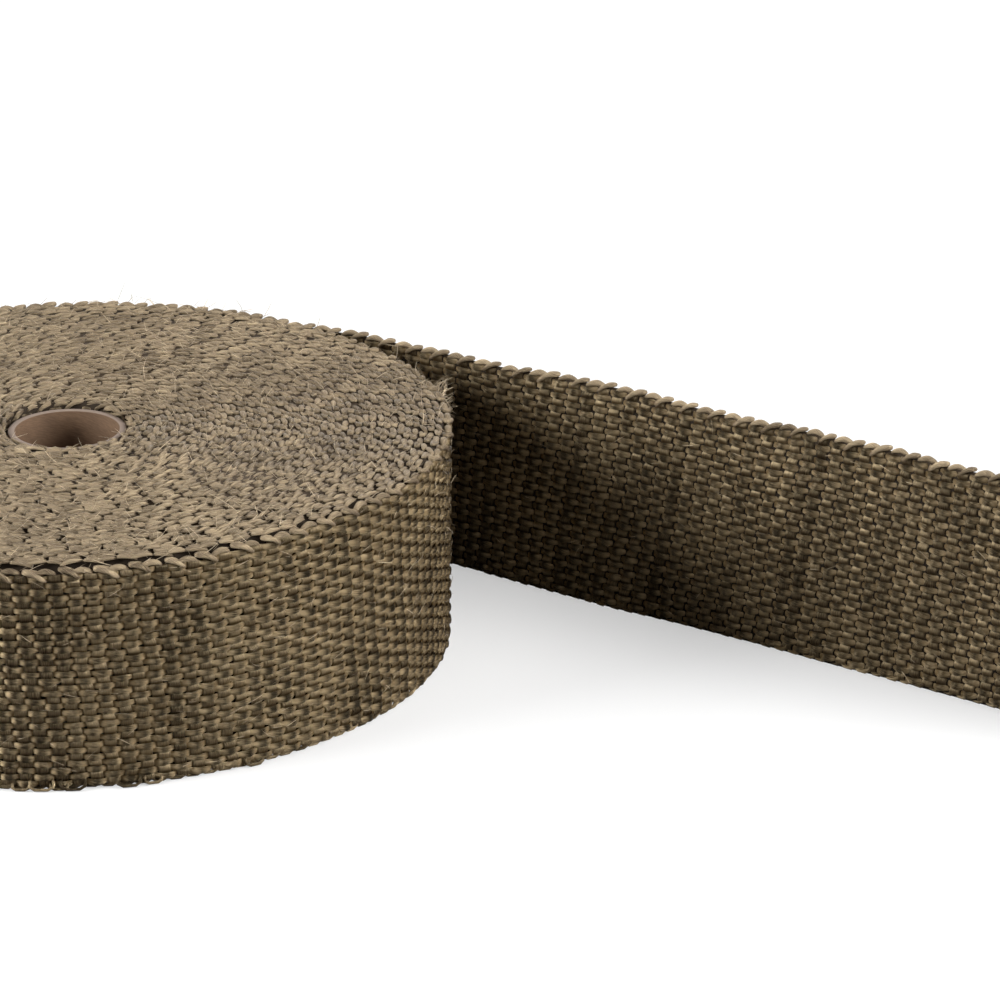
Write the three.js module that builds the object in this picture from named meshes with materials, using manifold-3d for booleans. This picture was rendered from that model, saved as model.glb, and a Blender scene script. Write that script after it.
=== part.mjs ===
// Exhaust heat wrap: a long woven basalt fibre tape, wound flat on a cardboard core, with the last
// stretch of the tape standing free beside the roll. Millimetres, +Z up along the axis of the roll.
import * as THREE from "three";
import { mergeVertices } from "three/addons/utils/BufferGeometryUtils.js";
import Module from "manifold-3d";

// The tape
const TAPE_WIDTH = 50.8;
const TURN_PITCH = 1.48; // one thickness of the wound tape, pressed flat by the turn outside it
const TURNS = 47;

// The cardboard core, a little shorter than the tape is wide
const CORE_BORE_DIAMETER = 23;
const CORE_WALL = 1.5;
const CORE_RECESS = 1.4; // how far each end of the core lies below the tape's edges
const CORE_CLEARANCE = 0.3;

// The turns that show on the two ends of the roll
const TURNS_PER_GROOVE = 4;
const GROOVE_WIDTH = 1.1;
const GROOVE_DEPTH = 1;

// The free end of the tape, which stands on its edge
const TAIL_THICKNESS = 1.4;
const TAIL_LEAVES_AT_DEG = 55.7; // around the roll, from +X
const TAIL_BEND_RADIUS = 1300;
const TAIL_BEND_LENGTH = 31.5;
const TAIL_STRAIGHT_LENGTH = 208;
const TAIL_LEAN_DEG = 10; // away from upright, from TAIL_LEAN_LENGTH on
const TAIL_LEAN_LENGTH = 90;
const TAIL_ROOT_LENGTH = 8; // the stretch that still lies on the roll

// How finely the round surfaces are divided
const ROLL_SIDES = 56;
const CORE_SIDES = 40;
const ROOT_STEPS = 4;
const BEND_STEPS = 3;
const STRAIGHT_STEPS = 12;

const CORE_RADIUS = CORE_BORE_DIAMETER / 2 + CORE_WALL;
const ROLL_BORE_RADIUS = CORE_RADIUS + CORE_CLEARANCE;
const ROLL_RADIUS = ROLL_BORE_RADIUS + TURNS * TURN_PITCH;
const ROLL_FLAT_RADIUS = ROLL_RADIUS * Math.cos(Math.PI / ROLL_SIDES);

const BASALT_FIBRE = new THREE.MeshStandardMaterial({ color: 0x5f5240, roughness: 0.5, metalness: 0.1 });
const CARDBOARD = new THREE.MeshStandardMaterial({ color: 0xa8927c, roughness: 0.9, metalness: 0 });

const wasm = await Module();
wasm.setup();

// A closed geometry as a solid that can be joined.
function solidOf(geometry) {
  const bare = geometry.clone();
  bare.deleteAttribute("normal");
  bare.deleteAttribute("uv");
  const merged = mergeVertices(bare, 1e-4);
  return new wasm.Manifold(
    new wasm.Mesh({
      numProp: 3,
      vertProperties: new Float32Array(merged.attributes.position.array),
      triVerts: new Uint32Array(merged.index.array),
    }),
  );
}

function geometryOf(solid) {
  const mesh = solid.getMesh();
  const geometry = new THREE.BufferGeometry();
  geometry.setAttribute("position", new THREE.BufferAttribute(mesh.vertProperties, 3));
  geometry.setIndex(new THREE.BufferAttribute(mesh.triVerts, 1));
  geometry.computeVertexNormals();
  return geometry;
}

// A ring turned about +Z from a closed outline of (radius, height) points, listed anticlockwise.
function turned(outline, sides) {
  const geometry = new THREE.LatheGeometry([...outline, outline[0]], sides);
  geometry.rotateX(Math.PI / 2);
  return geometry;
}

// The V grooves between bundles of turns, from the bore outwards, cut into the end at this height.
function endGrooves(height, inwards) {
  const points = [];
  for (let turn = TURNS_PER_GROOVE; turn < TURNS; turn += TURNS_PER_GROOVE) {
    const radius = ROLL_BORE_RADIUS + turn * TURN_PITCH;
    points.push(new THREE.Vector2(radius - GROOVE_WIDTH / 2, height));
    points.push(new THREE.Vector2(radius, height + inwards * GROOVE_DEPTH));
    points.push(new THREE.Vector2(radius + GROOVE_WIDTH / 2, height));
  }
  return points;
}

function woundRoll() {
  const outline = [
    new THREE.Vector2(ROLL_BORE_RADIUS, 0),
    ...endGrooves(0, 1),
    new THREE.Vector2(ROLL_RADIUS, 0),
    new THREE.Vector2(ROLL_RADIUS, TAPE_WIDTH),
    ...endGrooves(TAPE_WIDTH, -1).reverse(),
    new THREE.Vector2(ROLL_BORE_RADIUS, TAPE_WIDTH),
  ];
  return turned(outline, ROLL_SIDES);
}

// The middle line of the free end seen from above, with the heading at each point.
function tailLine() {
  const radius = ROLL_FLAT_RADIUS - TAIL_THICKNESS / 2;
  const leaves = THREE.MathUtils.degToRad(TAIL_LEAVES_AT_DEG);
  const line = [];
  for (let step = ROOT_STEPS; step > 0; step -= 1) {
    const angle = leaves + ((step / ROOT_STEPS) * TAIL_ROOT_LENGTH) / radius;
    line.push({ x: radius * Math.cos(angle), y: radius * Math.sin(angle), heading: angle - Math.PI / 2 });
  }
  let x = radius * Math.cos(leaves);
  let y = radius * Math.sin(leaves);
  let heading = leaves - Math.PI / 2;
  line.push({ x, y, heading });
  const walk = (length, steps, bend) => {
    for (let step = 0; step < steps; step += 1) {
      heading -= bend / steps / 2;
      x += (length / steps) * Math.cos(heading);
      y += (length / steps) * Math.sin(heading);
      heading -= bend / steps / 2;
      line.push({ x, y, heading });
    }
  };
  walk(TAIL_BEND_LENGTH, BEND_STEPS, TAIL_BEND_LENGTH / TAIL_BEND_RADIUS);
  walk(TAIL_STRAIGHT_LENGTH, STRAIGHT_STEPS, 0);
  return line;
}

// Leans the upper edge of the tail away from the roll, more and more until it is fully leaning.
function leanTail(geometry, line) {
  const start = line[ROOT_STEPS];
  const end = line[line.length - 1];
  const along = new THREE.Vector2(Math.cos(end.heading), Math.sin(end.heading));
  const away = new THREE.Vector2(-along.y, along.x);
  const position = geometry.attributes.position;
  for (let i = 0; i < position.count; i += 1) {
    const from = new THREE.Vector2(position.getX(i) - start.x, position.getY(i) - start.y);
    const share = THREE.MathUtils.clamp(from.dot(along) / TAIL_LEAN_LENGTH, 0, 1);
    const lean = THREE.MathUtils.degToRad(TAIL_LEAN_DEG) * share;
    const height = position.getZ(i);
    position.setX(i, position.getX(i) + away.x * height * Math.sin(lean));
    position.setY(i, position.getY(i) + away.y * height * Math.sin(lean));
    position.setZ(i, height * Math.cos(lean));
  }
  return geometry;
}

function freeTail() {
  const line = tailLine();
  const beside = (point, distance) =>
    new THREE.Vector2(
      point.x - Math.sin(point.heading) * distance,
      point.y + Math.cos(point.heading) * distance,
    );
  const outer = line.map((point) => beside(point, TAIL_THICKNESS / 2));
  const inner = line.map((point) => beside(point, -TAIL_THICKNESS / 2));
  const plan = new THREE.Shape([...inner, ...outer.reverse()]);
  const standing = new THREE.ExtrudeGeometry(plan, { depth: TAPE_WIDTH, steps: 1, bevelEnabled: false });
  return leanTail(standing, line);
}

function wovenTape() {
  const tape = new THREE.Mesh(geometryOf(solidOf(woundRoll()).add(solidOf(freeTail()))), BASALT_FIBRE);
  tape.name = "woven_tape";
  return tape;
}

function coreTube() {
  const bore = CORE_BORE_DIAMETER / 2;
  const top = TAPE_WIDTH - CORE_RECESS;
  const outline = [
    new THREE.Vector2(bore, CORE_RECESS),
    new THREE.Vector2(CORE_RADIUS, CORE_RECESS),
    new THREE.Vector2(CORE_RADIUS, top),
    new THREE.Vector2(bore, top),
  ];
  const core = new THREE.Mesh(turned(outline, CORE_SIDES), CARDBOARD);
  core.name = "core_tube";
  return core;
}

// The origin is the middle of the floor that the roll and its tail cover.
const heatWrap = new THREE.Group();
heatWrap.add(wovenTape(), coreTube());
const covered = new THREE.Box3().setFromObject(heatWrap).getCenter(new THREE.Vector3());
heatWrap.position.set(-covered.x, -covered.y, 0);

export default heatWrap;
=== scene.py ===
import math

import bpy
import numpy as np
from mathutils import Matrix, Vector


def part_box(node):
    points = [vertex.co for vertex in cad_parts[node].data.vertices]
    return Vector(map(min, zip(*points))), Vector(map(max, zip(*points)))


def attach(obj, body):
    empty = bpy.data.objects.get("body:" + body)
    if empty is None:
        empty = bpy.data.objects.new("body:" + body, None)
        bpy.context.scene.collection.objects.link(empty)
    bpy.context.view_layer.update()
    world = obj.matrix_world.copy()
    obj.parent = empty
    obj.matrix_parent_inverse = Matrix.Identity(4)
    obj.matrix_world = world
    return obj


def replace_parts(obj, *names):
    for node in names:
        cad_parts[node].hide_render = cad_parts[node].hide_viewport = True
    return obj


# The exhaust heat wrap: one woven basalt fibre tape wound on a cardboard core, its free end standing
# beside the roll. Lengths here are millimetres from the roll's axis at the floor, until a mesh is made.
# A place on the tape is (s, out, z): s along it, zero where it leaves the roll and negative on the roll,
# out from its middle and away from the roll, and z up its width.
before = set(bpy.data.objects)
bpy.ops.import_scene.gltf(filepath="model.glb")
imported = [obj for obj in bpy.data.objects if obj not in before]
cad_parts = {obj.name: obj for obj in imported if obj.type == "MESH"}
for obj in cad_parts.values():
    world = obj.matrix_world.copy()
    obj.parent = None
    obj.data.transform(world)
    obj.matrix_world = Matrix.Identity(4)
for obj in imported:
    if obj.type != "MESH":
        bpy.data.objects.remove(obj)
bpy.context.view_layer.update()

MM = 0.001
tape_low, tape_high = (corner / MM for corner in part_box("woven_tape"))
core_low, core_high = (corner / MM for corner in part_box("core_tube"))
AXIS = ((core_low + core_high) / 2).xy
TAPE_WIDTH = tape_high.z
ROLL_RADIUS = AXIS.x - tape_low.x
CORE_RADIUS = (core_high.x - core_low.x) / 2

# The winding, as the solid parts have it
TURNS = 47
TAPE_THICKNESS = 1.45
CORE_WALL = 1.5
CORE_CLEARANCE = 0.3
TAIL_LEAVES_DEG = 55.7
TAIL_LEAVES_AT = math.radians(TAIL_LEAVES_DEG)
TAIL_BEND_RADIUS = 1300
TAIL_BEND_LENGTH = 31.5
TAIL_LENGTH = 239.5
TAIL_LEAN = math.radians(10)
TAIL_LEAN_LENGTH = 90
OUTER_LINE_RADIUS = ROLL_RADIUS - TAPE_THICKNESS / 2
INNER_LINE_RADIUS = CORE_RADIUS + CORE_CLEARANCE + TAPE_THICKNESS / 2
TURN_PITCH = (OUTER_LINE_RADIUS - INNER_LINE_RADIUS) / TURNS
WOUND_LENGTH = math.pi * (OUTER_LINE_RADIUS + INNER_LINE_RADIUS) * TURNS

# The plain weave
WARP_ROWS = 33
PICK_PITCH = 3.6
LOW_BAND = 0.7  # the height that the looped edges take below the warp rows
TOP_BAND = 1.5  # and above them
ROW_PITCH = (TAPE_WIDTH - LOW_BAND - TOP_BAND) / WARP_ROWS
CRIMP = 0.7  # how far a warp yarn swings out over a pick
PICK_SKEW = math.tan(math.radians(4.5))  # how far the picks lean from square, along for each height
STEPS_PER_PICK = 4

FULL_TURN = 2 * math.pi
LAST_TURN = -round(FULL_TURN * OUTER_LINE_RADIUS / PICK_PITCH + 4) * PICK_PITCH
FIRST_TURN = -math.floor(WOUND_LENGTH / PICK_PITCH) * PICK_PITCH
TAIL_END = math.floor(TAIL_LENGTH / PICK_PITCH) * PICK_PITCH
CUT_FRINGE = 2 * PICK_PITCH  # the warp's ends past the last pick
LOOSE_TURNS = 2 * LAST_TURN  # the turns from here outwards show their loops close to the camera

# Stray fibres
TOP_HAIRS = 5600
SIDE_HAIRS = 900
TUFT_HAIRS = 90
TUFT_AT = -452

OUT, UP = np.eye(3)[1:]
rng = np.random.default_rng(7)


def wave(at, lengths, sizes, phases):
    """A slow irregular wave, from a few sines of these lengths."""
    return sum(
        size * np.sin(FULL_TURN * at / length + phase)
        for length, size, phase in zip(lengths, sizes, phases)
    )


def bell(at, middle, width):
    return np.exp(-(((at - middle) / width) ** 2))


def near_angle(angle, middle, width):
    """One around the roll at this angle in degrees, fading to nothing away from it."""
    off = (angle - math.radians(middle) + math.pi) % FULL_TURN - math.pi
    return bell(off, 0, math.radians(width))


def tape_line(s):
    """The middle of the tape seen from above, its outward direction, and its angle and radius on the
    roll."""
    back = np.clip(-s, 0, None)
    root = np.sqrt(np.clip(OUTER_LINE_RADIUS**2 - TURN_PITCH * back / math.pi, 1, None))
    turned = FULL_TURN / TURN_PITCH * (OUTER_LINE_RADIUS - root)
    angle = TAIL_LEAVES_AT + turned
    ahead = np.clip(s, 0, None)
    bent = np.clip(ahead, 0, TAIL_BEND_LENGTH)
    facing = angle - bent / TAIL_BEND_RADIUS
    straight = ahead - bent
    x = root * np.cos(angle)
    y = root * np.sin(angle)
    x = x + TAIL_BEND_RADIUS * (np.cos(facing) - np.cos(angle)) + straight * np.sin(facing)
    y = y + TAIL_BEND_RADIUS * (np.sin(facing) - np.sin(angle)) - straight * np.cos(facing)
    return x, y, facing, angle, root


def outer_slack(s):
    """How far the last turn hangs loose of the one beneath it."""
    return 0.3 * bell(s, -300, 150)


def winding_swell(angle, radius, share):
    """How far the soft winding stands off a true cylinder, outwards and upwards, at this share of its
    height: it bulges to the right, and its front rim dips and rises."""
    near_rim = np.clip(radius / ROLL_RADIUS, 0, 1) ** 6
    outwards = near_rim * near_angle(angle, 0, 42) * (2.1 + 0.8 * share)
    rim = 0.85 * near_angle(angle, -44, 17) - 0.3 * near_angle(angle, -92, 24)
    rim = rim + 0.12 * np.sin(17 * angle) + 0.1 * np.sin(29 * angle + 1)
    return outwards, near_rim * share * rim


def tape_point(s, out, z):
    """A place on the tape as a point: wound on the roll, or leaning and swaying on the free end."""
    s, out, z = np.broadcast_arrays(s, out, z)
    x, y, facing, angle, radius = tape_line(s)
    share = z / TAPE_WIDTH
    wound = s < 0
    swell, rise = winding_swell(angle, radius, share)
    dip = -1.2 * share * bell(s, -305, 62)
    fade = np.clip(-s / 60, 0, 1)
    lean = TAIL_LEAN * np.clip(s / TAIL_LEAN_LENGTH, 0, 1)
    free = np.clip(s / 40, 0, 1)
    sway = free * wave(s + 0.6 * z, (118, 61, 29), (0.5, 0.3, 0.12), (0.4, 2.1, 4.0))
    out = out + np.where(wound, fade * (swell + outer_slack(s)), sway)
    away = out * np.cos(lean) + z * np.sin(lean)
    up = z * np.cos(lean) - out * np.sin(lean) * 0.5
    ripple = share * free * wave(s, (173, 67, 23), (0.35, 0.22, 0.1), (1.0, 0.2, 2.2))
    up = up + np.where(wound, fade * (rise + dip), ripple)
    return np.stack([x + np.cos(facing) * away, y + np.sin(facing) * away, up], axis=-1)


class Faces:
    """The faces of one strand, which are then repeated for every strand like it."""

    def __init__(self, rings, sides, closed=True, tips=False):
        self.vertices = rings * sides + (2 if tips else 0)
        first = 1 if tips else 0
        last = self.vertices - 1
        corners = []
        sizes = []

        def at(ring, side):
            return first + ring * sides + side % sides

        for ring in range(rings - 1):
            for side in range(sides if closed else sides - 1):
                corners += [
                    (at(ring, side), ring + first, side),
                    (at(ring + 1, side), ring + 1 + first, side),
                    (at(ring + 1, side + 1), ring + 1 + first, side + 1),
                    (at(ring, side + 1), ring + first, side + 1),
                ]
                sizes.append(4)
        for side in range(sides if tips else 0):
            corners += [
                (0, 0, side),
                (at(0, side), 1, side),
                (at(0, side + 1), 1, side + 1),
                (last, rings + 1, side),
                (at(rings - 1, side + 1), rings, side + 1),
                (at(rings - 1, side), rings, side),
            ]
            sizes += [3, 3]
        self.corners = np.array(corners)
        self.starts = np.concatenate([[0], np.cumsum(sizes)[:-1]])


def add_mesh(name, points, faces, along, across, tone, material):
    """One mesh of many strands. points is (strand, vertex, 3); along is (strand, ring) and across
    (side + 1) in millimetres on the yarn, for its fibres; tone is a shade for each strand or vertex."""
    strands = len(points)
    loops = len(faces.corners)
    strand = np.repeat(np.arange(strands), loops)
    vertex = np.tile(faces.corners[:, 0], strands) + strand * faces.vertices
    ring = np.tile(faces.corners[:, 1], strands)
    side = np.tile(faces.corners[:, 2], strands)
    starts = (faces.starts[None] + np.arange(strands)[:, None] * loops).ravel()
    placed = points.reshape(-1, 3) + np.array([AXIS.x, AXIS.y, 0])
    mesh = bpy.data.meshes.new(name)
    mesh.vertices.add(len(placed))
    mesh.vertices.foreach_set("co", (placed * MM).astype(np.float32).ravel())
    mesh.loops.add(len(vertex))
    mesh.loops.foreach_set("vertex_index", vertex.astype(np.int32))
    mesh.polygons.add(len(starts))
    mesh.polygons.foreach_set("loop_start", starts.astype(np.int32))
    mesh.update(calc_edges=True)
    mesh.shade_smooth()
    fibres = mesh.uv_layers.new(name="fibres")
    placed_uv = np.stack([along[strand, ring], across[side]], axis=-1)
    fibres.data.foreach_set("uv", placed_uv.astype(np.float32).ravel())
    shade = mesh.attributes.new("tone", "FLOAT", "POINT")
    shade.data.foreach_set("value", np.broadcast_to(tone, points.shape[:2]).astype(np.float32).ravel())
    piece = bpy.data.objects.new(name, mesh)
    bpy.context.scene.collection.objects.link(piece)
    mesh.materials.append(material)
    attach(piece, "root")
    return piece


def flattened(swing, power):
    """A swing with a fuller crest, as a soft yarn has that is pressed on."""
    return np.sign(swing) * np.abs(swing) ** power


def warp_rows(name, start, end, section, closed, material, lowest=0):
    """The yarns that run along the tape, each passing over and under the picks by turns."""
    picks = round((end - start) / PICK_PITCH)
    s = np.linspace(start, end, picks * STEPS_PER_PICK + 1)
    rows = np.arange(lowest, WARP_ROWS)
    middle = LOW_BAND + (rows + 0.5) * ROW_PITCH
    drift = np.stack([
        wave(s, (41, 17, 7.3), (0.1, 0.08, 0.07), rng.uniform(0, FULL_TURN, 3)) for _ in rows
    ])
    z = middle[:, None] + drift
    slip = wave(s[None] + 3 * z, (97, 31, 13), (0.5, 0.35, 0.2), (0, 1, 2))
    swing = np.cos(math.pi * ((s[None] - PICK_SKEW * z + 0.5 * slip) / PICK_PITCH + rows[:, None]))
    size = 1 + 0.14 * wave(s[None] + 37 * rows[:, None], (11.3, 5.1), (0.6, 0.5), (0, 2))
    out = CRIMP * size * flattened(swing, 0.95)
    over = np.abs(swing) if closed else (1 + swing) / 2
    width = ROW_PITCH * (0.4 + 0.12 * over) * size
    thick = 0.26 + 0.04 * over
    points = tape_point(
        s[None, :, None],
        out[..., None] + thick[..., None] * flattened(np.cos(section), 0.75),
        z[..., None] - width[..., None] * flattened(np.sin(section), 0.75),
    )
    faces = Faces(len(s), len(section), closed)
    along = s[None] + rng.uniform(0, 400, len(rows))[:, None]
    around = np.append(section, section[0] + FULL_TURN) if closed else section
    # Painted shade and highlight: tone darkens each warp float at its crest and lightens it on its
    # slopes, in colour and in gloss. The dark crests stand in for the dark front they mirror, and the
    # light slopes for the side lamps they catch. worn adds an uneven tone along each yarn.
    crest = np.clip(np.abs(swing) if closed else swing, 0, 1)
    worn = wave(s[None] + 53 * rows[:, None], (9.7, 3.9, 160), (0.4, 0.4, 0.2), (1, 5, 2))
    tone = 1.0 - 1.05 * crest**1.5 + 0.22 * worn
    tone = np.repeat(tone[..., None], len(section), axis=2).reshape(len(rows), -1)
    points = points.reshape(len(rows), -1, 3)
    return add_mesh(name, points, faces, along, around * 0.75, tone, material)


def weft_picks(name, start, end, section, closed, material):
    """The yarns that cross the tape, which show between the warp's crests."""
    picks = np.arange(math.ceil(start / PICK_PITCH), math.floor(end / PICK_PITCH) + 1)
    steps = np.linspace(-0.5, WARP_ROWS - 0.5, 2 * WARP_ROWS + 1)
    z = LOW_BAND + (steps + 0.5) * ROW_PITCH
    place = picks[:, None] * PICK_PITCH + PICK_SKEW * z[None]
    slip = wave(place + 3 * z[None], (97, 31, 13), (0.5, 0.35, 0.2), (0, 1, 2))
    s = place - 0.5 * slip
    swing = -np.cos(math.pi * (picks[:, None] + steps[None]))
    out = CRIMP * 0.5 * swing
    points = tape_point(
        s[..., None] + PICK_PITCH * 0.37 * flattened(np.sin(section), 0.7),
        out[..., None] + 0.26 * flattened(np.cos(section), 0.7),
        z[None, :, None],
    )
    faces = Faces(len(z), len(section), closed)
    along = z[None] + rng.uniform(0, 400, len(picks))[:, None]
    around = np.append(section, section[0] + FULL_TURN) if closed else section
    tone = rng.uniform(0.2, 0.9, (len(picks), 1))
    points = points.reshape(len(picks), -1, 3)
    return add_mesh(name, points, faces, along, around * 1.3, tone, material)


def finer(values, times):
    """The same run of values through more points, rounded between them."""
    first = 2 * values[:, :1] - values[:, 1:2]
    last = 2 * values[:, -1:] - values[:, -2:-1]
    padded = np.concatenate([first, values, last], axis=1)[:, :, None]
    a, b, c, d = padded[:, :-3], padded[:, 1:-2], padded[:, 2:-1], padded[:, 3:]
    t = (np.arange(times) / times)[None, None, :, None]
    bent = b + 0.5 * t * (c - a) + t**2 * (a - 2.5 * b + 2 * c - 0.5 * d)
    bent = bent + t**3 * 0.5 * (3 * b - a - 3 * c + d)
    bent = bent.reshape(len(values), -1, values.shape[2])
    return np.concatenate([bent, values[:, -1:]], axis=1)


def rounded(line, wide, thick, times):
    """A strand's line and half sizes through more points, its ends drawn in smoothly."""
    if times == 1:
        return line, wide, thick
    sizes = np.stack([wide, thick], axis=-1)
    sizes = np.concatenate([0.5 * sizes[:, :1], sizes, 0.5 * sizes[:, -1:]], axis=1)
    sizes = finer(sizes, times)[:, 1:-1]
    return finer(line, times), sizes[..., 0], sizes[..., 1]


def strands(name, line, wide, thick, reference, sides, tone, material):
    """Round strands with pointed ends. line is (strand, point, 3), places on the tape; wide and thick are
    half sizes for each strand and each point between the ends."""
    ahead = line[:, 2:] - line[:, :-2]
    ahead = ahead / np.linalg.norm(ahead, axis=-1, keepdims=True)
    beside = np.cross(ahead, reference)
    beside = beside / np.linalg.norm(beside, axis=-1, keepdims=True)
    over = np.cross(beside, ahead)
    angle = np.arange(sides) / sides * FULL_TURN
    cosine = np.cos(angle)[None, None, :, None]
    sine = np.sin(angle)[None, None, :, None]
    rings = line[:, 1:-1, None] + beside[:, :, None] * wide[..., None, None] * cosine
    rings = rings + over[:, :, None] * thick[..., None, None] * sine
    places = np.concatenate([line[:, :1], rings.reshape(len(line), -1, 3), line[:, -1:]], axis=1)
    steps = np.linalg.norm(np.diff(line, axis=1), axis=-1)
    along = np.concatenate([np.zeros((len(line), 1)), np.cumsum(steps, axis=1)], axis=1)
    along = along + rng.uniform(0, 400, len(line))[:, None]
    across = np.append(angle, FULL_TURN) * wide.mean()
    points = tape_point(places[..., 0], places[..., 1], places[..., 2])
    faces = Faces(line.shape[1] - 2, sides, tips=True)
    return add_mesh(name, points, faces, along, across, tone, material)


def edge_places(start, end, parity):
    """The numbers and places of every second pick between these, and how far each is pressed by the
    turns around it."""
    at = np.arange(math.ceil(start / PICK_PITCH), math.floor(end / PICK_PITCH))
    at = at[at % 2 == parity]
    s = (at + 0.5) * PICK_PITCH + rng.normal(0, 0.2, len(at))
    return s, np.clip(-s / 300 - 1.5, 0, 1) * np.clip((s + WOUND_LENGTH) / 60 - 1.2, 0, 1)


def edge_floats(name, start, end, times, sides, material):
    """The outermost warp yarn, where it passes over the edge between two loops: short plump pods."""
    s, pressed = edge_places(start, end, 0)
    count = len(s)
    on = np.array([-2.35, -1.5, 0, 1.5, 2.35])
    arch = np.array([1.7, 1.05, 0.62, 1.05, 1.7])
    flat_arch = np.array([0.85, 0.54, 0.4, 0.54, 0.85])
    drop = arch[None] + (flat_arch - arch)[None] * pressed[:, None]
    size = 1 + rng.normal(0, 0.06, count)
    yaw = rng.normal(0.1, 0.08, count)[:, None] * (1 + pressed[:, None])
    line = np.stack([
        s[:, None] - size[:, None] * on[None],
        -yaw * on[None] + rng.normal(0, 0.08, count)[:, None],
        TAPE_WIDTH - drop * size[:, None] + rng.normal(0, 0.1, count)[:, None],
    ], axis=-1)
    girth = np.array([0.8, 1, 0.8])
    wide = 0.73 * size[:, None] * girth[None]
    thick = (0.62 - 0.27 * pressed[:, None]) * size[:, None] * girth[None]
    line, wide, thick = rounded(line, wide, thick, times)
    return strands(name, line, wide, thick, UP, sides, rng.uniform(0.3, 0.75, (count, 1)), material)


def edge_loops(name, start, end, times, sides, material):
    """The weft's turn over the edge: up the inner face, over, and down the outer face, with both legs
    running back under the next pod."""
    s, pressed = edge_places(start, end, 1)
    count = len(s)
    on = np.array([3.2, 2.5, 1.1, -0.7, -0.7, 1.1, 2.5, 3.3])
    out = np.array([0.0, 0.72, 0.78, 0.3, -0.3, -0.78, -0.72, 0.0])
    drop = np.array([2.6, 2.0, 0.95, 0.5, 0.5, 0.95, 2.1, 2.7])
    flat_out = np.array([0.0, 0.35, 0.42, 0.25, -0.05, -0.35, -0.55, -0.4])
    flat_drop = np.array([1.5, 1.0, 0.55, 0.4, 0.4, 0.46, 0.75, 1.4])
    mix = pressed[:, None]
    out = out[None] * (1 - mix) + flat_out[None] * mix
    drop = drop[None] * (1 - mix) + flat_drop[None] * mix
    size = 1 + rng.normal(0, 0.07, count)[:, None]
    line = np.stack([
        s[:, None] - size * on[None],
        out + rng.normal(0, 0.07, count)[:, None] + rng.normal(0, 0.05, count)[:, None] * on[None],
        TAPE_WIDTH - drop * size + rng.normal(0, 0.12, count)[:, None],
    ], axis=-1)
    girth = np.array([0.85, 1, 1, 1, 1, 0.85])
    wide = 0.55 * size * girth[None]
    thick = (0.52 - 0.2 * mix) * size * girth[None]
    line, wide, thick = rounded(line, wide, thick, times)
    return strands(name, line, wide, thick, UP, sides, rng.uniform(0.3, 0.75, (count, 1)), material)


def bottom_loops(name, start, end, material):
    """Where each weft yarn turns back at the lower edge."""
    at = np.arange(math.ceil(start / PICK_PITCH), math.floor(end / PICK_PITCH))
    count = len(at)
    on = np.array([-2.0, -1.8, -0.85, 0.85, 1.8, 2.0])
    out = np.array([0.3, 0.3, 0.12, -0.12, -0.3, -0.3])
    height = np.array([2.1, 0.95, 0.42, 0.42, 0.95, 2.1])
    size = 1 + rng.normal(0, 0.06, count)
    s = (at + 0.5) * PICK_PITCH + rng.normal(0, 0.15, count)
    line = np.stack([
        s[:, None] + on[None] * size[:, None],
        out[None] + rng.normal(0, 0.1, count)[:, None],
        height[None] * size[:, None] + rng.uniform(0, 0.12, count)[:, None],
    ], axis=-1)
    girth = np.array([0.9, 1, 1, 0.9])
    wide = 0.5 * size[:, None] * girth[None]
    thick = 0.4 * size[:, None] * girth[None]
    return strands(name, line, wide, thick, OUT, 4, rng.uniform(0, 1, (count, 1)), material)


def hanging_loops(material):
    """A few turns of the weft that have come loose at the roll's lower edge and lie on the floor."""
    angle = np.array([-94.5, -91.5, -89.0, -87.0, -79.0, -75.5, -60.0, -101.0])
    count = len(angle)
    s = -np.radians(360 - TAIL_LEAVES_DEG + angle) * OUTER_LINE_RADIUS
    on = np.array([-1.9, -2.3, -2.2, -1.2, 1.2, 2.2, 2.3, 1.9])
    out = np.array([0.3, 0.7, 1.1, 1.5, 1.5, 1.1, 0.7, 0.3])
    height = np.array([2.6, 1.7, 0.9, 0.45, 0.45, 0.9, 1.7, 2.6])
    size = rng.uniform(0.75, 1.15, count)[:, None]
    line = np.stack([
        s[:, None] + on[None] * size,
        out[None] * size + rng.normal(0, 0.1, (count, 1)),
        np.maximum(height[None] * size, 0.42),
    ], axis=-1)
    thin = np.full((count, len(on) - 2), 0.34)
    return strands("hanging_loops", line, thin, thin, UP, 8, rng.uniform(0, 1, (count, 1)), material)


def stray_fibres(name, start, direction, length, lift, material):
    """Broken filaments that stand off the yarns, each a bent hair."""
    count = len(start)
    share = np.array([0, 0.25, 0.55, 0.8, 1])
    sideways = np.cross(direction, rng.normal(0, 1, (count, 3)))
    bend = rng.uniform(-0.35, 0.35, count)[:, None, None] * sideways[:, None]
    line = start[:, None] + length[:, None, None] * (
        direction[:, None] * share[None, :, None] + bend * share[None, :, None] ** 2
    )
    line = line + lift[:, None] * (share * (1.4 - 0.6 * share))[None, :, None]
    line[..., 2] = np.maximum(line[..., 2], 0.1)
    thin = rng.uniform(0.04, 0.085, count)[:, None] * np.array([1, 0.9, 0.6])[None]
    reference = np.array([0.37, 0.61, 0.7])
    return strands(name, line, thin, thin, reference, 3, rng.uniform(0, 1, (count, 1)), material)


def unit(vectors):
    return vectors / np.linalg.norm(vectors, axis=-1, keepdims=True)


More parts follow.
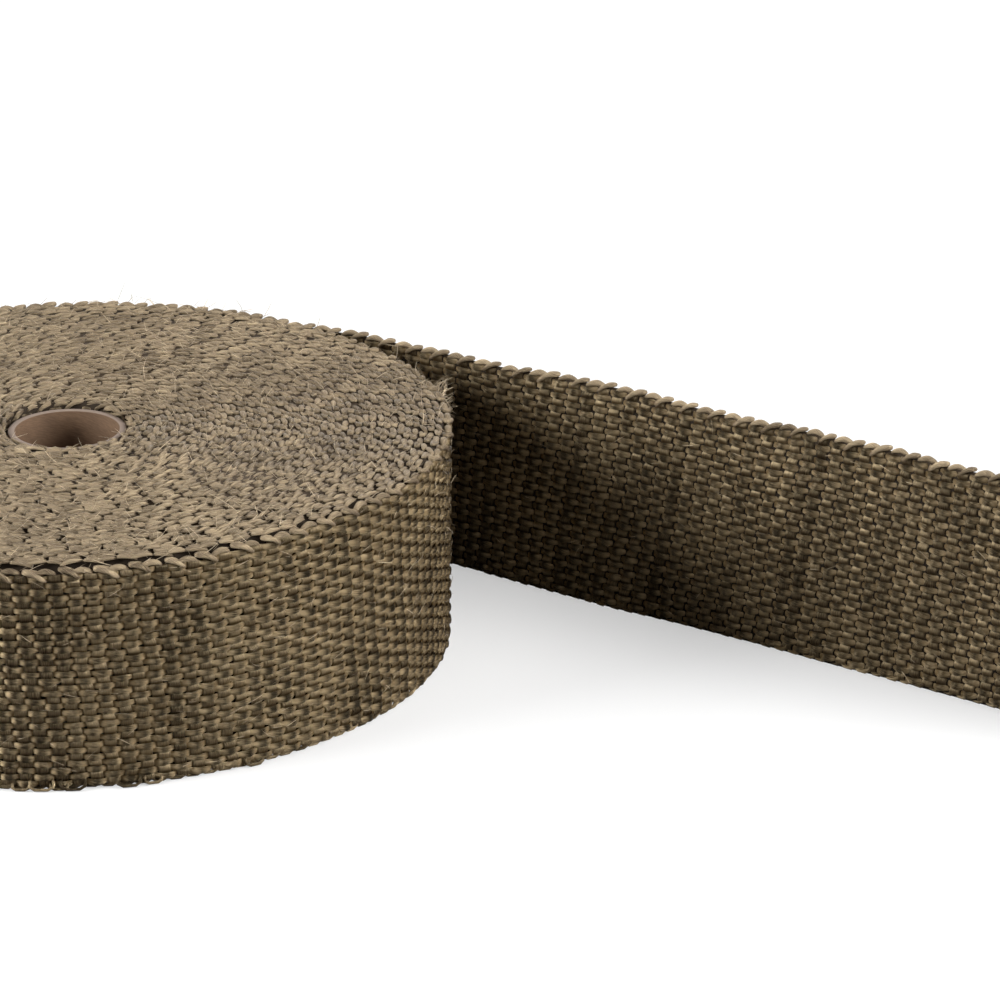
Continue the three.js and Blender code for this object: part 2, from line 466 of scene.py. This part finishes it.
def fuzz(material):
    """Stray fibres of the looped edges, the outer turn and the free end."""
    top = TOP_HAIRS
    s = OUTER_LINE_RADIUS**2 - rng.uniform(INNER_LINE_RADIUS**2, OUTER_LINE_RADIUS**2, top)
    s = -s * math.pi / TURN_PITCH
    start = np.stack([s, rng.uniform(-0.7, 0.7, top), np.full(top, TAPE_WIDTH - 0.5)], axis=-1)
    direction = unit(np.stack([
        rng.normal(0, 1, top), rng.normal(0, 0.5, top), rng.uniform(0, 0.25, top)
    ], axis=-1))
    lift = np.outer(rng.uniform(0.2, 1.0, top), UP)
    length = rng.uniform(1, 3, top) + rng.exponential(1.1, top)
    on_top = stray_fibres("top_fibres", start, direction, length, lift, material)

    side = SIDE_HAIRS
    s = rng.uniform(LAST_TURN + 10, TAIL_END - 6, side)
    face = np.where((s > 0) & (rng.random(side) < 0.6), -1.0, 1.0)
    start = np.stack([s, face * 0.72, rng.uniform(1.5, TAPE_WIDTH - 1, side)], axis=-1)
    direction = unit(np.stack([
        rng.choice([-1.0, 1.0], side), np.zeros(side), rng.normal(0, 0.45, side)
    ], axis=-1))
    lift = np.outer(rng.uniform(0.1, 0.7, side) * face, OUT)
    on_side = stray_fibres("side_fibres", start, direction, rng.uniform(1.5, 5, side), lift, material)

    tuft = TUFT_HAIRS
    s = rng.normal(TUFT_AT, 3.5, tuft)
    start = np.stack([s, rng.uniform(0, 0.8, tuft), TAPE_WIDTH - rng.uniform(0.3, 4, tuft)], axis=-1)
    direction = unit(np.stack([
        rng.normal(-0.3, 0.7, tuft), rng.uniform(0.1, 1.1, tuft), rng.normal(0.25, 0.5, tuft)
    ], axis=-1))
    lift = np.outer(rng.uniform(0, 0.5, tuft), OUT)
    frayed = stray_fibres("frayed_tuft", start, direction, rng.uniform(1.5, 5, tuft), lift, material)
    return [on_top, on_side, frayed]


def winding_depth(material):
    """A dark sheet behind the yarns of the roll, standing in for the turns beneath: painted shade."""
    around = np.linspace(LAST_TURN + 5 * PICK_PITCH, 0, 240)
    depth = 0.62
    inside = CORE_RADIUS + CORE_CLEARANCE + TAPE_THICKNESS
    behind = -0.75 - outer_slack(around)
    wall = np.stack([tape_point(around, behind, z) for z in (depth, TAPE_WIDTH - depth)], axis=1)
    angle = tape_line(around)[3]
    bore = np.stack([
        np.stack([inside * np.cos(angle), inside * np.sin(angle), np.full_like(angle, z)], axis=-1)
        for z in (TAPE_WIDTH - depth, depth)
    ], axis=1)
    points = np.concatenate([wall, bore], axis=1)
    points = np.concatenate([points, points[:1]])[::-1]
    faces = Faces(len(points), 4)
    along = np.linspace(0, 1, len(points))[None]
    across = TAPE_WIDTH * np.arange(5)
    return add_mesh("winding_depth", points.reshape(1, -1, 3), faces, along, across, 0.5, material)


def tape_ground(material):
    """Painted shade between the yarns of the free end: a thin dark strip within them."""
    s = np.linspace(-4, TAIL_END - 0.5, 90)
    half = 0.1
    levels = np.linspace(0.15, TAPE_WIDTH - 1.0, 5)
    z = np.concatenate([levels, levels[::-1]])
    out = np.concatenate([np.full(5, half), np.full(5, -half)])
    body = tape_point(s[:, None], out[None], z[None]).reshape(-1, 3)
    tips = tape_point(np.array([s[0] - 0.2, s[-1] + 0.2]), 0, TAPE_WIDTH / 2)
    points = np.concatenate([tips[:1], body, tips[1:]])
    faces = Faces(len(s), len(z), tips=True)
    along = np.concatenate([s[:1], s, s[-1:]])[None]
    across = np.append(z, z[0])
    return add_mesh("tape_ground", points[None], faces, along, across, 0.5, material)


def cardboard_core(material):
    """The tube: its walls and rims, a little eased at their edges."""
    bore = CORE_RADIUS - CORE_WALL
    ease = 0.14
    outline = np.array([
        (bore + ease, core_low.z), (CORE_RADIUS - ease, core_low.z),
        (CORE_RADIUS, core_low.z + ease), (CORE_RADIUS, core_high.z - ease),
        (CORE_RADIUS - ease, core_high.z), (bore + ease, core_high.z),
        (bore, core_high.z - ease), (bore, core_low.z + ease),
    ])
    angle = np.append(np.arange(120) / 120 * FULL_TURN, 0)
    points = np.stack([
        np.cos(angle)[:, None] * outline[None, :, 0],
        np.sin(angle)[:, None] * outline[None, :, 0],
        np.broadcast_to(outline[:, 1], (len(angle), len(outline))),
    ], axis=-1)
    sides = np.linalg.norm(np.diff(np.vstack([outline, outline[:1]]), axis=0), axis=1)
    faces = Faces(len(angle), len(outline))
    along = np.linspace(0, FULL_TURN * CORE_RADIUS, len(angle))[None]
    across = np.append(0, np.cumsum(sides))
    points = points.reshape(1, -1, 3)
    return add_mesh("cardboard_core", points, faces, along, across, 0.5, material)


def add_node(nodes, kind, **settings):
    node = nodes.new(kind)
    for key, value in settings.items():
        setattr(node, key, value)
    return node


def spread_out(tree, value, low, high, to_low=0.0, to_high=1.0):
    """This value's run from low to high, stretched to run from to_low to to_high."""
    node = tree.nodes.new("ShaderNodeMapRange")
    node.inputs["From Min"].default_value = low
    node.inputs["From Max"].default_value = high
    node.inputs["To Min"].default_value = to_low
    node.inputs["To Max"].default_value = to_high
    tree.links.new(value, node.inputs["Value"])
    return node.outputs[0]


def colour_between(tree, value, dark, light, low=0.0, high=1.0):
    node = tree.nodes.new("ShaderNodeValToRGB")
    node.color_ramp.elements[0].color = (*dark, 1)
    node.color_ramp.elements[0].position = low
    node.color_ramp.elements[1].color = (*light, 1)
    node.color_ramp.elements[1].position = high
    tree.links.new(value, node.inputs["Fac"])
    return node.outputs["Color"]


def facing_up(tree, low, high):
    """One where a surface faces upwards, and zero where it doesn't."""
    shape = tree.nodes.new("ShaderNodeNewGeometry")
    split = tree.nodes.new("ShaderNodeSeparateXYZ")
    tree.links.new(shape.outputs["Normal"], split.inputs[0])
    return spread_out(tree, split.outputs["Z"], low, high)


def add_bump(tree, height, strength, distance):
    bump = tree.nodes.new("ShaderNodeBump")
    bump.inputs["Strength"].default_value = strength
    bump.inputs["Distance"].default_value = distance
    tree.links.new(height, bump.inputs["Height"])
    return bump.outputs["Normal"]


def fibre_streaks():
    """Fine streaks that run along a yarn, from its own lengthways coordinate."""
    group = bpy.data.node_groups.new("fibre_streaks", "ShaderNodeTree")
    for name, default in (("Along", 0.3), ("Across", 10.0), ("Lean", 0.25)):
        socket = group.interface.new_socket(name, in_out="INPUT", socket_type="NodeSocketFloat")
        socket.default_value = default
    group.interface.new_socket("Streak", in_out="OUTPUT", socket_type="NodeSocketFloat")
    nodes, links = group.nodes, group.links
    given = nodes.new("NodeGroupInput")
    made = nodes.new("NodeGroupOutput")
    fibres = nodes.new("ShaderNodeUVMap")
    fibres.uv_map = "fibres"
    split = nodes.new("ShaderNodeSeparateXYZ")
    links.new(fibres.outputs["UV"], split.inputs[0])
    along = add_node(nodes, "ShaderNodeMath", operation="MULTIPLY")
    links.new(split.outputs["X"], along.inputs[0])
    links.new(given.outputs["Along"], along.inputs[1])
    slant = add_node(nodes, "ShaderNodeMath", operation="MULTIPLY_ADD")
    links.new(split.outputs["X"], slant.inputs[0])
    links.new(given.outputs["Lean"], slant.inputs[1])
    links.new(split.outputs["Y"], slant.inputs[2])
    across = add_node(nodes, "ShaderNodeMath", operation="MULTIPLY")
    links.new(slant.outputs[0], across.inputs[0])
    links.new(given.outputs["Across"], across.inputs[1])
    joined = nodes.new("ShaderNodeCombineXYZ")
    links.new(along.outputs[0], joined.inputs["X"])
    links.new(across.outputs[0], joined.inputs["Y"])
    noise = nodes.new("ShaderNodeTexNoise")
    noise.inputs["Scale"].default_value = 1
    noise.inputs["Detail"].default_value = 3
    noise.inputs["Roughness"].default_value = 0.6
    links.new(joined.outputs[0], noise.inputs["Vector"])
    links.new(spread_out(group, noise.outputs["Fac"], 0.37, 0.63), made.inputs["Streak"])
    return group


def mottle():
    """Slow uneven colour over a surface, from its place on the object."""
    group = bpy.data.node_groups.new("mottle", "ShaderNodeTree")
    socket = group.interface.new_socket("Scale", in_out="INPUT", socket_type="NodeSocketFloat")
    socket.default_value = 60.0
    group.interface.new_socket("Shade", in_out="OUTPUT", socket_type="NodeSocketFloat")
    nodes, links = group.nodes, group.links
    given = nodes.new("NodeGroupInput")
    made = nodes.new("NodeGroupOutput")
    place = nodes.new("ShaderNodeTexCoord")
    noise = nodes.new("ShaderNodeTexNoise")
    noise.inputs["Detail"].default_value = 4
    links.new(place.outputs["Object"], noise.inputs["Vector"])
    links.new(given.outputs["Scale"], noise.inputs["Scale"])
    links.new(spread_out(group, noise.outputs["Fac"], 0.3, 0.7), made.inputs["Shade"])
    return group


STREAKS = fibre_streaks()
MOTTLE = mottle()


def new_material(name):
    material = bpy.data.materials.new(name)
    material.use_nodes = True
    return material, material.node_tree, material.node_tree.nodes["Principled BSDF"]


def fibre_material(name, dark, light, roughness, lean=0.25, streak_share=0.38, gloss=0.9):
    """Glossy basalt yarn: streaked along its filaments, which also stretch its highlights."""
    material, tree, shader = new_material(name)
    nodes, links = tree.nodes, tree.links
    streaks = add_node(nodes, "ShaderNodeGroup", node_tree=STREAKS)
    streaks.inputs["Lean"].default_value = lean
    uneven = add_node(nodes, "ShaderNodeGroup", node_tree=MOTTLE)
    uneven.inputs["Scale"].default_value = 90
    tone = add_node(nodes, "ShaderNodeAttribute", attribute_name="tone")
    share = add_node(nodes, "ShaderNodeMix", data_type="FLOAT")
    share.inputs["Factor"].default_value = streak_share
    links.new(tone.outputs["Fac"], share.inputs["A"])
    links.new(streaks.outputs["Streak"], share.inputs["B"])
    both = add_node(nodes, "ShaderNodeMix", data_type="FLOAT")
    both.inputs["Factor"].default_value = 0.14
    links.new(share.outputs["Result"], both.inputs["A"])
    links.new(uneven.outputs["Shade"], both.inputs["B"])
    shade = both.outputs["Result"]
    darkest, lightest = 0.22, 0.78
    colour = colour_between(tree, shade, dark, light, darkest, lightest)
    links.new(colour, shader.inputs["Base Color"])
    # The gloss follows the same shade, so the warp's painted crest shade dims its highlights too.
    shine = spread_out(tree, shade, darkest, lightest, gloss * 0.15, gloss * 1.9)
    links.new(shine, shader.inputs["Specular IOR Level"])
    polish = spread_out(tree, streaks.outputs["Streak"], 0, 1, roughness + 0.1, roughness - 0.06)
    links.new(polish, shader.inputs["Roughness"])
    ridges = add_bump(tree, streaks.outputs["Streak"], 0.6, 0.00016)
    links.new(ridges, shader.inputs["Normal"])
    along = add_node(nodes, "ShaderNodeTangent", direction_type="UV_MAP", uv_map="fibres")
    links.new(along.outputs["Tangent"], shader.inputs["Tangent"])
    shader.inputs["Anisotropic"].default_value = 1.0
    shader.inputs["Anisotropic Rotation"].default_value = 0.25
    shader.inputs["IOR"].default_value = 1.9
    shader.inputs["Specular Tint"].default_value = (1.0, 0.79, 0.48, 1)
    return material


def painted_shade_winding_material():
    """Painted shade standing in for the inside of the winding: near black between the yarns, less dark on
    its ends, where it faces up.
    """
    material, tree, shader = new_material("painted_shade_winding")
    nodes, links = tree.nodes, tree.links
    uneven = add_node(nodes, "ShaderNodeGroup", node_tree=MOTTLE)
    uneven.inputs["Scale"].default_value = 700
    dark = colour_between(tree, uneven.outputs["Shade"], (0.005, 0.0035, 0.002), (0.02, 0.013, 0.007))
    tinted = add_node(nodes, "ShaderNodeMix", data_type="RGBA")
    links.new(facing_up(tree, 0.6, 0.9), tinted.inputs["Factor"])
    links.new(dark, tinted.inputs["A"])
    tinted.inputs["B"].default_value = (0.075, 0.054, 0.036, 1)
    links.new(tinted.outputs["Result"], shader.inputs["Base Color"])
    shader.inputs["Roughness"].default_value = 0.9
    shader.inputs["Specular IOR Level"].default_value = 0.2
    return material


def cardboard_material():
    """Plain wound paper: fine fibres, a little uneven, paler where the cut rim shows its plies."""
    material, tree, shader = new_material("cardboard_tube")
    nodes, links = tree.nodes, tree.links
    uneven = add_node(nodes, "ShaderNodeGroup", node_tree=MOTTLE)
    uneven.inputs["Scale"].default_value = 250
    streaks = add_node(nodes, "ShaderNodeGroup", node_tree=STREAKS)
    streaks.inputs["Along"].default_value = 0.5
    streaks.inputs["Across"].default_value = 3.0
    both = add_node(nodes, "ShaderNodeMix", data_type="FLOAT")
    links.new(uneven.outputs["Shade"], both.inputs["A"])
    links.new(streaks.outputs["Streak"], both.inputs["B"])
    paper = colour_between(tree, both.outputs["Result"], (0.085, 0.046, 0.022), (0.15, 0.086, 0.045))
    tinted = add_node(nodes, "ShaderNodeMix", data_type="RGBA")
    links.new(facing_up(tree, 0.4, 0.8), tinted.inputs["Factor"])
    links.new(paper, tinted.inputs["A"])
    tinted.inputs["B"].default_value = (0.24, 0.18, 0.14, 1)
    links.new(tinted.outputs["Result"], shader.inputs["Base Color"])
    shader.inputs["Roughness"].default_value = 0.85
    grain = add_bump(tree, both.outputs["Result"], 0.35, 0.0001)
    links.new(grain, shader.inputs["Normal"])
    return material


def add_object():
    """Every piece of the dressed tape, in the place of the solid tape, and the cardboard core."""
    warp_fibre = fibre_material("warp_fibre", (0.004, 0.0024, 0.0009), (0.125, 0.079, 0.033), 0.36)
    weft_fibre = fibre_material("weft_fibre", (0.012, 0.0075, 0.0035), (0.06, 0.039, 0.018), 0.5, lean=0)
    # edge_fibre is the warp's basalt fibre in a lighter colour, for the edges and top rows that face up:
    # painted light from above.
    edge_fibre = fibre_material("edge_fibre", (0.05, 0.034, 0.02), (0.28, 0.215, 0.15), 0.5, lean=0.5)
    hair = fibre_material("stray_fibre", (0.16, 0.12, 0.08), (0.6, 0.5, 0.38), 0.4)
    painted_shade_winding = painted_shade_winding_material()

    outer_half = np.radians(np.linspace(-100, 100, 5))
    all_round = np.arange(8) / 8 * FULL_TURN
    ground = tape_ground(painted_shade_winding)
    free_yarns = [
        warp_rows("tail_warp", 0, TAIL_END, all_round, True, warp_fibre),
        weft_picks("tail_weft", 0, TAIL_END - CUT_FRINGE, all_round, True, weft_fibre),
    ]
    pieces = free_yarns + [
        ground,
        warp_rows("roll_warp", LAST_TURN, 0, outer_half, False, warp_fibre),
        weft_picks("roll_weft", LAST_TURN, 0, outer_half, False, weft_fibre),
        warp_rows("first_turn_warp", FIRST_TURN, FIRST_TURN + 100.8, all_round, True, edge_fibre, 29),
        edge_floats("inner_edge_floats", -WOUND_LENGTH, LOOSE_TURNS, 1, 6, edge_fibre),
        edge_floats("outer_edge_floats", LOOSE_TURNS, TAIL_END, 3, 10, edge_fibre),
        edge_loops("inner_edge_loops", -WOUND_LENGTH, LOOSE_TURNS, 1, 5, edge_fibre),
        edge_loops("outer_edge_loops", LOOSE_TURNS, TAIL_END, 3, 8, edge_fibre),
        bottom_loops("bottom_loops", -WOUND_LENGTH, TAIL_END, weft_fibre),
        hanging_loops(weft_fibre),
        winding_depth(painted_shade_winding),
    ]
    for piece in pieces + fuzz(hair):
        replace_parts(piece, "woven_tape")
    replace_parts(cardboard_core(cardboard_material()), "core_tube")


def add_floor():
    """A plain pale floor, four metres each way from the object."""
    half = 4.0
    mesh = bpy.data.meshes.new("floor")
    corners = [(-half, -half, 0), (half, -half, 0), (half, half, 0), (-half, half, 0)]
    mesh.from_pydata(corners, [], [(0, 1, 2, 3)])
    floor = bpy.data.objects.new("floor", mesh)
    bpy.context.scene.collection.objects.link(floor)
    material, tree, shader = new_material("pale_floor")
    nodes, links = tree.nodes, tree.links
    noise = nodes.new("ShaderNodeTexNoise")
    noise.inputs["Scale"].default_value = 3
    pale = colour_between(tree, noise.outputs["Fac"], (0.5, 0.5, 0.5), (0.54, 0.54, 0.54))
    # The camera sees a white floor, while the object gets little light back from it, as it does from a
    # floor that was whitened after the picture was taken.
    path = nodes.new("ShaderNodeLightPath")
    seen = add_node(nodes, "ShaderNodeMix", data_type="RGBA")
    links.new(path.outputs["Is Camera Ray"], seen.inputs["Factor"])
    seen.inputs["A"].default_value = (0.3, 0.29, 0.28, 1)
    links.new(pale, seen.inputs["B"])
    links.new(seen.outputs["Result"], shader.inputs["Base Color"])
    glow = add_node(nodes, "ShaderNodeMath", operation="MULTIPLY")
    links.new(path.outputs["Is Camera Ray"], glow.inputs[0])
    glow.inputs[1].default_value = 0.46
    links.new(glow.outputs[0], shader.inputs["Emission Strength"])
    shader.inputs["Emission Color"].default_value = (1, 1, 1, 1)
    shader.inputs["Roughness"].default_value = 0.9
    shader.inputs["Specular IOR Level"].default_value = 0.0
    mesh.materials.append(material)


def add_camera():
    """The camera at the photograph's viewing angle."""
    elevation = math.radians(21.234)
    tilt = math.radians(-0.367)
    distance = 1100
    focal_pixels = 4.454 * distance
    target = Vector((AXIS.x + 94.915, AXIS.y + 17.059, TAPE_WIDTH / 2))
    forward = Vector((0, math.cos(elevation), -math.sin(elevation)))
    right = Vector((1, 0, 0))
    up = right.cross(forward)
    rolled_right = math.cos(tilt) * right + math.sin(tilt) * up
    rolled_up = -math.sin(tilt) * right + math.cos(tilt) * up
    data = bpy.data.cameras.new("camera")
    data.sensor_width = 36
    data.lens = focal_pixels / 1000 * data.sensor_width
    data.clip_start = 0.1
    data.clip_end = 50
    camera = bpy.data.objects.new("camera", data)
    axes = Matrix((rolled_right, rolled_up, -forward)).transposed().to_4x4()
    camera.matrix_world = Matrix.Translation((target - forward * distance) * MM) @ axes
    bpy.context.scene.collection.objects.link(camera)
    bpy.context.scene.camera = camera


def add_softbox(name, azimuth, elevation, distance, width, height, radiance):
    """azimuth is in degrees to the right of the camera's side, seen from above."""
    turn, rise = math.radians(azimuth), math.radians(elevation)
    flat = distance * math.cos(rise)
    place = Vector((flat * math.sin(turn), -flat * math.cos(turn), distance * math.sin(rise)))
    data = bpy.data.lights.new(name, "AREA")
    data.shape = "RECTANGLE"
    data.size = width
    data.size_y = height
    data.energy = radiance * math.pi * width * height
    light = bpy.data.objects.new(name, data)
    light.location = place
    light.rotation_euler = (-place).to_track_quat("-Z", "Y").to_euler()
    bpy.context.scene.collection.objects.link(light)


def add_world():
    """A studio that is bright behind the object and overhead, and dim on the camera's side."""
    world = bpy.data.worlds.new("studio")
    world.use_nodes = True
    nodes, links = world.node_tree.nodes, world.node_tree.links
    background = nodes["Background"]
    toward = nodes.new("ShaderNodeTexCoord")
    split = nodes.new("ShaderNodeSeparateXYZ")
    links.new(toward.outputs["Generated"], split.inputs[0])
    behind = nodes.new("ShaderNodeMapRange")
    behind.interpolation_type = "SMOOTHSTEP"
    behind.inputs["From Min"].default_value = -0.1
    behind.inputs["From Max"].default_value = 0.7
    behind.inputs["To Min"].default_value = 0.02
    behind.inputs["To Max"].default_value = 0.15
    links.new(split.outputs["Y"], behind.inputs["Value"])
    links.new(behind.outputs[0], background.inputs["Strength"])
    background.inputs["Color"].default_value = (1, 1, 1, 1)
    bpy.context.scene.world = world


def add_light():
    add_softbox("left_softbox", -74, 22, 1.6, 0.9, 0.9, 14)
    add_softbox("right_softbox", 72, 22, 1.6, 0.75, 0.8, 19)
    add_softbox("rear_softbox", 180, 22, 1.6, 0.9, 0.9, 3.5)
    add_softbox("high_softbox", 105, 52, 1.6, 0.9, 0.9, 2.8)
    add_softbox("top_softbox", 0, 86, 1.6, 0.9, 0.9, 1.2)
    add_world()
    bpy.context.scene.view_settings.view_transform = "Standard"


add_camera()
add_object()
add_floor()
add_light()
